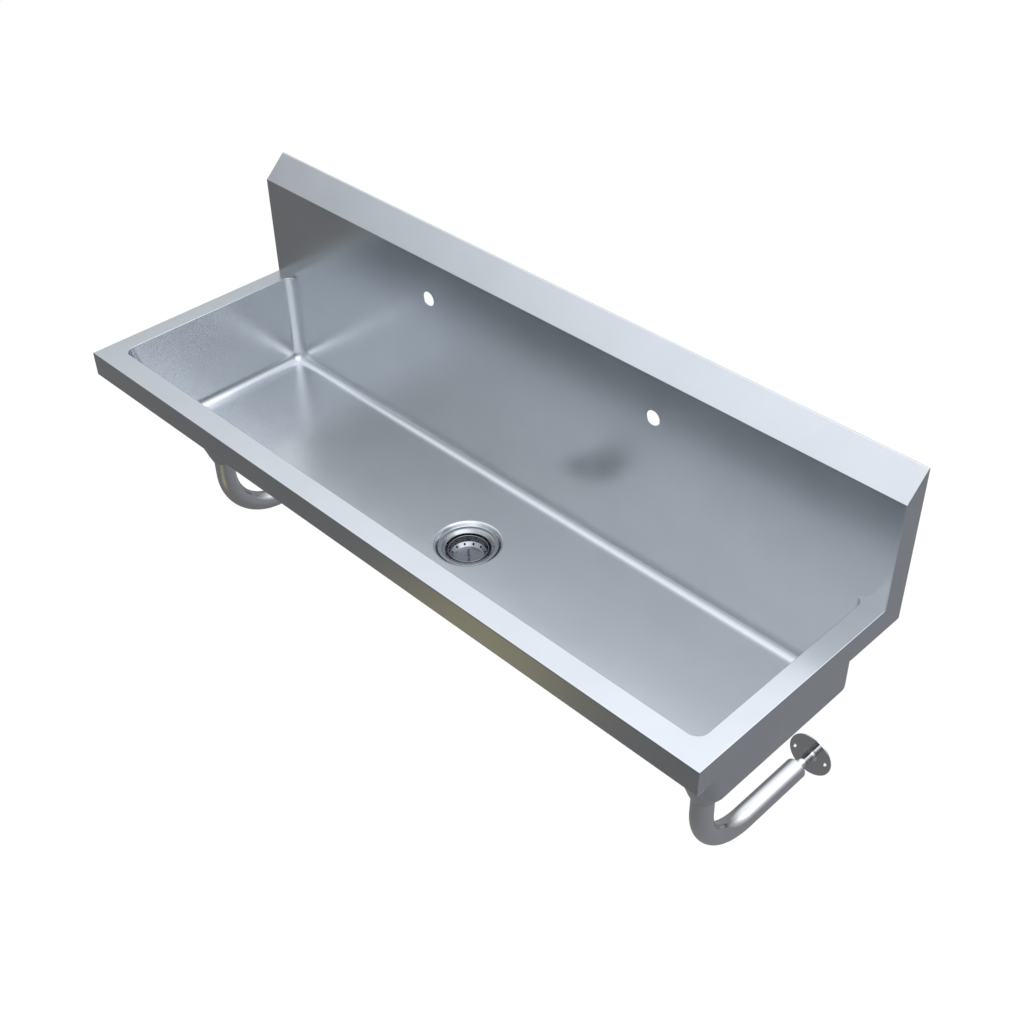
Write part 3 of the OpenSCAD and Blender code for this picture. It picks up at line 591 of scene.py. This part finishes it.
screws = []
for x in (-stay_x, stay_x):
    place = (x, lock_y, stay_z - tube_r * MM)
    shank = turned([(tip, 7.7), (screw_r - 0.4, 7.7), (screw_r, 7.2), (screw_r, 0), (tip, 0)],
                   place)
    bpy.ops.object.select_all(action="DESELECT")
    bpy.ops.mesh.primitive_cylinder_add(
        vertices=6, radius=6 * MM, depth=screw_head * MM,
        location=(x, lock_y, place[2] - screw_head / 2 * MM))
    head = settled()
    apply_modifier(head, "BEVEL", width=0.35 * MM, segments=2, limit_method="ANGLE")
    screws += [shank, head]
choose(*screws)
bpy.ops.object.join()
hand_over(screws[0], "rod_lock_screws", screw_steel, "zinc_screw", "trough", "lock_screws")


# Waste. Its flange, cup and outlet are one pressed and turned stainless piece, polished inside.
# The flange lies on a thin rubber gasket in the bowl's rebate. Under the bowl a rubber washer, a
# slip ring and a lugged nut on the cup's thread clamp it.
# Painted shade: this polished steel has a darker colour than the other stainless parts. The darkness
# stands in for the shade down in the bowl's rebate, where the waste sits.
waste_steel_painted_shade = steel("polished_pressed_stainless_painted_shade", "#97999c", "#a4a6a9", 0.2, 0.04,
                       (12 * MM, 0.8 * MM), 0.001 * MM, 0.02 * MM)


def plain(name, dark, light, rough, grain_size, grain_height, metallic=0, sheen=0.5):
    """Rubber, plastic or turned brass, with a fine grain of the given size and height."""
    material = bpy.data.materials.new(name)
    material.use_nodes = True
    tree = material.node_tree
    shader = tree.nodes["Principled BSDF"]
    shader.inputs["Metallic"].default_value = metallic
    shader.inputs["Specular IOR Level"].default_value = sheen
    place = add(tree, "ShaderNodeTexCoord", {}).outputs["Object"]
    patch = add(tree, "ShaderNodeTexNoise", {"Vector": place, "Scale": 1 / (6 * grain_size),
                                             "Detail": 3})
    grain = add(tree, "ShaderNodeTexNoise", {"Vector": place, "Scale": 1 / grain_size})
    tint = add(tree, "ShaderNodeMix", {"Factor": patch.outputs["Fac"], 6: srgb(dark),
                                       7: srgb(light)}, data_type="RGBA")
    tree.links.new(tint.outputs[2], shader.inputs["Base Color"])
    dull = add(tree, "ShaderNodeMapRange", {"Value": patch.outputs["Fac"],
                                            "To Min": rough - 0.06, "To Max": rough + 0.06})
    tree.links.new(dull.outputs["Result"], shader.inputs["Roughness"])
    bump = add(tree, "ShaderNodeBump", {"Height": grain.outputs["Fac"],
                                        "Distance": grain_height})
    tree.links.new(bump.outputs["Normal"], shader.inputs["Normal"])
    return material


rubber = plain("moulded_black_rubber", "#161617", "#232324", 0.62, 0.8 * MM, 0.02 * MM)
acetal = plain("moulded_white_acetal", "#cfcabb", "#dcd8ca", 0.45, 1.2 * MM, 0.01 * MM)
brass = plain("turned_brass", "#a98542", "#bd9a55", 0.28, 0.9 * MM, 0.004 * MM, metallic=1)
waste_axis = Vector((0, waste_centre.y, waste_high.z))
# Rings of the waste, measured down from the flange's top
waste_rings = ([(44.0, -1.2), (44.5, -0.6)] + bend((43.9, -0.6), 0.6, 30, 90, 3)
               + [(40.2, 0), (39.2, -0.12), (38.5, -0.42), (37.6, -1.0), (34.6, -3.2),
                  (33.8, -3.9), (33.5, -4.6), (33.4, -5.4), (33.4, -38), (21, -38), (20.5, -41),
                  (20.5, -66.2), (23.5, -66.2), (23.9, -65.8), (23.9, -42.2), (35.2, -39.4),
                  (35.4, -39.0), (35.4, -3.1), (38.5, -1.3), (40.5, -1.2), (44.0, -1.2)])
body = turned(waste_rings, waste_axis)
hub_low = -47.7
hub_top = hub_low + 4
hub = turned([(6, hub_low), (6, hub_top), (3.3, hub_top), (3.3, hub_low), (6, hub_low)],
             waste_axis)


def spoke(out, height, size, edge, edge_steps, turn, foot):
    """A bar that points away from an upright axis: out and height place its middle above the
    axis' foot, and its edges are rounded."""
    bpy.ops.object.select_all(action="DESELECT")
    bpy.ops.mesh.primitive_cube_add(size=1, location=(out, 0, height), scale=size)
    bar = settled()
    apply_modifier(bar, "BEVEL", width=edge, segments=edge_steps)
    bar.rotation_euler = (0, 0, math.radians(turn))
    bar.location = foot
    return settled()


arm_side = 4
arms = [spoke(12.8 * MM, (hub_low + arm_side / 2) * MM, (16 * MM, arm_side * MM, arm_side * MM),
              0.4 * MM, 2, turn, waste_axis) for turn in (90, 210, 330)]
choose(body, hub, *arms)
bpy.ops.object.join()
hand_over(body, "waste_cup", waste_steel_painted_shade, "pressed_waste", "trough", "waste_body")


def washer(node, name, material, slot, inner, edge):
    """A flat ring in the place of its node, with its edges rounded."""
    low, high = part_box(node)
    outer = (high.x - low.x) / 2 / MM
    height = (high.z - low.z) / MM
    rings = ([(inner + edge, 0), (outer - edge, 0), (outer, edge), (outer, height - edge),
              (outer - edge, height), (inner + edge, height), (inner, height - edge),
              (inner, edge), (inner + edge, 0)])
    hand_over(turned(rings, (0, waste_centre.y, low.z)), name, material, slot, "trough", node)


# What goes round the cup's thread has this inner radius
thread_r = 35.45
washer("waste_gasket", "flange_gasket", rubber, "seal_rubber", 39, 0.2)
washer("waste_washer", "rubber_washer", rubber, "seal_rubber", thread_r, 0.6)
washer("slip_ring", "acetal_slip_ring", acetal, "slip_plastic", thread_r, 0.2)
nut_low, nut_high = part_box("waste_locknut")
nut_height = (nut_high.z - nut_low.z) / MM
nut_r = 45
nut = turned([(thread_r, 0.8), (36.2, 0), (nut_r - 1, 0), (nut_r, 1), (nut_r, nut_height - 1),
              (nut_r - 1, nut_height), (36.2, nut_height), (thread_r, nut_height - 0.8),
              (thread_r, 0.8)], (0, waste_centre.y, nut_low.z))
lug_size = (9.9 * MM, 12 * MM, (nut_height - 0.2) * MM)
lugs = [spoke(nut_r * MM, nut_height / 2 * MM, lug_size, 1.2 * MM, 3, turn,
              (0, waste_centre.y, nut_low.z)) for turn in (45, 135, 225, 315)]
choose(nut, *lugs)
bpy.ops.object.join()
hand_over(nut, "lugged_nut", brass, "nut_brass", "trough", "waste_locknut")


# Basket. It is pressed from 0.9 mm stainless: an upright wall with a rolled rim, a sloping ring
# with twelve round holes, and a flat bright floor. A post with a small knob stands in its
# middle, and its stem carries a rubber seal held by a brass nut.
# Painted shade: the basket's bright steel is darker still. The colour stands in for the shade deep
# inside the waste cup.
basket_steel = steel("bright_pressed_stainless_painted_shade", "#8d8f92", "#9a9c9f", 0.18, 0.03,
                     (8 * MM, 0.7 * MM), 0.0008 * MM, 0.01 * MM)
basket_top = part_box("basket")[1].z
basket_axis = Vector((0, waste_centre.y, basket_top))
floor_h = -15.0
stem_bore = 3.05
basket_rings = (bend((29.9, -0.5), 0.55, 180, 0, 6)
                + [(30.4, -0.9), (28.95, -9.9), (28.5, -10.7), (22.6, -15.7), (22.0, -15.9),
                   (stem_bore, -15.9), (stem_bore, floor_h), (21.6, floor_h), (22.2, -14.7),
                   (27.5, -10.3), (28.1, -9.5), (29.35, -0.9), (29.35, -0.5)])
basket = turned(basket_rings, basket_axis)
hole_count = 12
hole_ring = 25 * MM
strainer_r = 1.6 * MM
for i in range(hole_count):
    angle = 2 * math.pi * i / hole_count
    spot = basket_axis + Vector((hole_ring * math.cos(angle), hole_ring * math.sin(angle), 0))
    cut(basket, rod_cutter(strainer_r, spot - Vector((0, 0, 20 * MM)),
                           spot - Vector((0, 0, 5 * MM))))
hand_over(basket, "strainer_basket", basket_steel, "basket_steel", "basket_body", "basket")
# Painted shade: the post's polished steel is far darker than the bright rod's. The colour stands in for
# the shade on the stem down in the basket.
post_steel_painted_shade = steel("polished_post_painted_shade", "#66686b", "#747679", 0.12, 0.03, (8 * MM, 0.7 * MM),
                   0.0008 * MM, 0.01 * MM)
post_low, post_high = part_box("basket_post")
knob_h = (post_high.z - basket_top) / MM
stem_h = (post_low.z - basket_top) / MM
post_r = 1.4
stem_r = 3.0
post = turned([(tip, knob_h), (1.95, knob_h), (2.35, knob_h - 0.15), (2.5, knob_h - 0.5),
               (2.35, knob_h - 0.9), (1.8, knob_h - 1.3), (post_r, knob_h - 1.6),
               (post_r, floor_h + 0.5), (1.9, floor_h + 0.12), (stem_r, floor_h),
               (stem_r, stem_h + 1.5), (1.6, stem_h), (tip, stem_h)], basket_axis)
hand_over(post, "knob_and_post", post_steel_painted_shade, "bright_rod", "basket_body", "basket_post")
seal_low, seal_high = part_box("basket_seal")
seal_height = (seal_high.z - seal_low.z) / MM
seal = turned([(stem_bore, 0), (22.6, 0), (23.6, 0.5), (24, 1.4), (24, 3.2), (23.4, 4.0),
               (12, 5.2), (9.6, 5.7), (9, 6.6), (9, seal_height), (stem_bore, seal_height),
               (stem_bore, 0)], (0, waste_centre.y, seal_low.z))
hand_over(seal, "rubber_seal", rubber, "seal_rubber", "basket_body", "basket_seal")
stem_nut_height = 3.5 * MM
bpy.ops.object.select_all(action="DESELECT")
bpy.ops.mesh.primitive_cylinder_add(
    vertices=6, radius=6 * MM, depth=stem_nut_height,
    location=(0, waste_centre.y, seal_low.z - stem_nut_height / 2))
stem_nut = settled()
apply_modifier(stem_nut, "BEVEL", width=0.3 * MM, segments=2)
cut(stem_nut, rod_cutter(stem_bore * MM, (0, waste_centre.y, seal_low.z - past),
                         (0, waste_centre.y, seal_low.z + past)))
hand_over(stem_nut, "stem_nut", brass, "nut_brass", "basket_body", "seal_nut")


# Studio. A pale floor lies well below the trough, as the room's floor would. Soft lamps light it
# from above, and a tent of plain panels, bright overhead and dark low down, is what the polished
# metal mirrors.
floor_drop = -0.9
bpy.ops.object.select_all(action="DESELECT")
bpy.ops.mesh.primitive_plane_add(size=60, location=(0, 0, floor_drop))
floor = bpy.context.object
floor.name = "studio_floor"
paint = bpy.data.materials.new("pale_floor_paint")
paint.use_nodes = True
paint.cycles.emission_sampling = "NONE"
tree = paint.node_tree
tree.nodes.clear()
matt = add(tree, "ShaderNodeBsdfDiffuse", {"Color": srgb("#f2f2f2")})
glow = add(tree, "ShaderNodeEmission", {"Color": srgb("#ffffff"), "Strength": 1.0})
path = add(tree, "ShaderNodeLightPath", {})
seen = add(tree, "ShaderNodeMath", {0: path.outputs["Is Camera Ray"],
                                    1: path.outputs["Is Glossy Ray"]}, operation="MAXIMUM")
seen = add(tree, "ShaderNodeMath", {0: seen.outputs["Value"],
                                    1: path.outputs["Is Transmission Ray"]}, operation="MAXIMUM")
share = add(tree, "ShaderNodeMath", {0: seen.outputs["Value"], 1: 0.93}, operation="MULTIPLY")
mixed = add(tree, "ShaderNodeMixShader", {0: share.outputs["Value"], 1: matt.outputs["BSDF"],
                                          2: glow.outputs["Emission"]})
add(tree, "ShaderNodeOutputMaterial", {"Surface": mixed.outputs["Shader"]})
floor.data.materials.append(paint)

# The tent is a dome, flattened below so that its low cloth lies just above the floor
tent_r = 4.5
tent_low = -0.85
bpy.ops.object.select_all(action="DESELECT")
bpy.ops.mesh.primitive_uv_sphere_add(segments=64, ring_count=48, radius=tent_r)
tent = bpy.context.object
tent.name = "mirrored_tent"
bpy.ops.object.mode_set(mode="EDIT")
pick(tent, "VERT", lambda p: p.z < 0)
bpy.ops.transform.resize(value=(1, 1, -tent_low / tent_r), center_override=(0, 0, 0))
bpy.ops.object.mode_set(mode="OBJECT")
panels = bpy.data.materials.new("tent_panels")
panels.use_nodes = True
panels.cycles.emission_sampling = "NONE"
tree = panels.node_tree
tree.nodes.clear()
place = add(tree, "ShaderNodeTexCoord", {}).outputs["Object"]
way = add(tree, "ShaderNodeVectorMath", {"Vector": place}, operation="NORMALIZE")
split = add(tree, "ShaderNodeSeparateXYZ", {"Vector": way.outputs["Vector"]})
# Overhead panels: dark at the level of the trough, bright from half way up
shade = add(tree, "ShaderNodeValToRGB", {"Fac": split.outputs["Z"]})
ramp = shade.color_ramp
stops = [(0.0, "#636364"), (0.17, "#6e6f71"), (0.32, "#8b8e91"), (0.5, "#b4b8bb"),
         (0.62, "#cbcfd4"), (0.76, "#dee2e8"), (1.0, "#f4f6fb")]
ramp.elements[0].position = stops[0][0]
ramp.elements[0].color = srgb(stops[0][1])
ramp.elements[1].position = stops[-1][0]
ramp.elements[1].color = srgb(stops[-1][1])
for position, colour in stops[1:-1]:
    ramp.elements.new(position).color = srgb(colour)
# They are brighter at the right and behind, and dim in front of the left-hand end
right = add(tree, "ShaderNodeMapRange", {"Value": split.outputs["X"], "From Min": 0.0,
                                         "From Max": 0.4, "To Min": 1.0, "To Max": 1.85},
            interpolation_type="SMOOTHSTEP")
rear = add(tree, "ShaderNodeMapRange", {"Value": split.outputs["Y"], "From Min": -0.35,
                                        "From Max": 0.35, "To Min": 1.07, "To Max": 1.17},
           interpolation_type="SMOOTHSTEP")
corner = add(tree, "ShaderNodeVectorMath", {0: way.outputs["Vector"], 1: (-0.8, -0.45, 0.4)},
             operation="DOT_PRODUCT")
dim = add(tree, "ShaderNodeMapRange", {"Value": corner.outputs["Value"], "From Min": 0.93,
                                       "From Max": 1.0, "To Min": 1.0, "To Max": 0.68})
gain = add(tree, "ShaderNodeMath", {0: right.outputs["Result"], 1: rear.outputs["Result"]},
           operation="MULTIPLY")
gain = add(tree, "ShaderNodeMath", {0: gain.outputs["Value"], 1: dim.outputs["Result"]},
           operation="MULTIPLY")
above = add(tree, "ShaderNodeVectorMath", {0: shade.outputs["Color"],
                                           "Scale": gain.outputs["Value"]}, operation="SCALE")
# Low cloth: paler behind the right-hand end, with a warm patch in front
toward = add(tree, "ShaderNodeVectorMath", {0: place, 1: (0.7, 0.7, 0)}, operation="DOT_PRODUCT")
behind = add(tree, "ShaderNodeMapRange", {"Value": toward.outputs["Value"], "From Min": -0.6,
                                          "From Max": 0.8}, interpolation_type="SMOOTHSTEP")
cloth = add(tree, "ShaderNodeMix", {"Factor": behind.outputs["Result"], 6: srgb("#636364"),
                                    7: srgb("#747579")}, data_type="RGBA")
away = add(tree, "ShaderNodeVectorMath", {0: place, 1: (-0.35, -0.95, tent_low)},
           operation="DISTANCE")
warm = add(tree, "ShaderNodeMapRange", {"Value": away.outputs["Value"], "From Min": 0.42,
                                        "From Max": 0.02}, interpolation_type="SMOOTHSTEP")
cloth = add(tree, "ShaderNodeMix", {"Factor": warm.outputs["Result"], 6: cloth.outputs[2],
                                    7: srgb("#8f8a70")}, data_type="RGBA")
spot = add(tree, "ShaderNodeSeparateXYZ", {"Vector": place})
front = add(tree, "ShaderNodeMapRange", {"Value": spot.outputs["Y"], "From Min": -1.05,
                                         "From Max": -1.2}, interpolation_type="SMOOTHSTEP")
left = add(tree, "ShaderNodeMapRange", {"Value": spot.outputs["X"], "From Min": -1.9,
                                        "From Max": -1.3, "To Min": 1.0, "To Max": 0.4})
fade = add(tree, "ShaderNodeMix", {"Factor": front.outputs["Result"], "A": 1.0,
                                   "B": left.outputs["Result"]}, data_type="FLOAT")
cloth = add(tree, "ShaderNodeVectorMath", {0: cloth.outputs[2], "Scale": fade.outputs[0]},
            operation="SCALE")
high = add(tree, "ShaderNodeMapRange", {"Value": split.outputs["Z"], "From Min": -0.05,
                                        "From Max": 0.0})
shade = add(tree, "ShaderNodeMix", {"Factor": high.outputs["Result"], 6: cloth.outputs["Vector"],
                                    7: above.outputs["Vector"]}, data_type="RGBA")
light = add(tree, "ShaderNodeEmission", {"Color": shade.outputs[2], "Strength": 1.6})
add(tree, "ShaderNodeOutputMaterial", {"Surface": light.outputs["Emission"]})
tent.data.materials.append(panels)
tent.visible_camera = False
tent.visible_diffuse = False
tent.visible_shadow = False
tent.visible_transmission = False

# Three soft lamps, in front at the left and at the right and behind: place, size and watts
lamps = (((-1.6, -2.0, 2.6), 2.2, 55), ((1.9, -1.4, 2.8), 2.2, 45), ((0.2, 1.8, 2.8), 2.6, 40))
for place, size, watts in lamps:
    bpy.ops.object.light_add(type="AREA", location=place, rotation=(
        Vector((0, -0.2, -0.1)) - Vector(place)).to_track_quat("-Z", "Y").to_euler())
    lamp = bpy.context.object
    lamp.data.size = size
    lamp.data.energy = watts
    lamp.visible_glossy = False
world = bpy.context.scene.world or bpy.data.worlds.new("studio")
bpy.context.scene.world = world
world.use_nodes = True
world.node_tree.nodes["Background"].inputs["Color"].default_value = srgb("#ffffff")
world.node_tree.nodes["Background"].inputs["Strength"].default_value = 1.0
world.cycles_visibility.glossy = False
bpy.context.scene.view_settings.view_transform = "Standard"
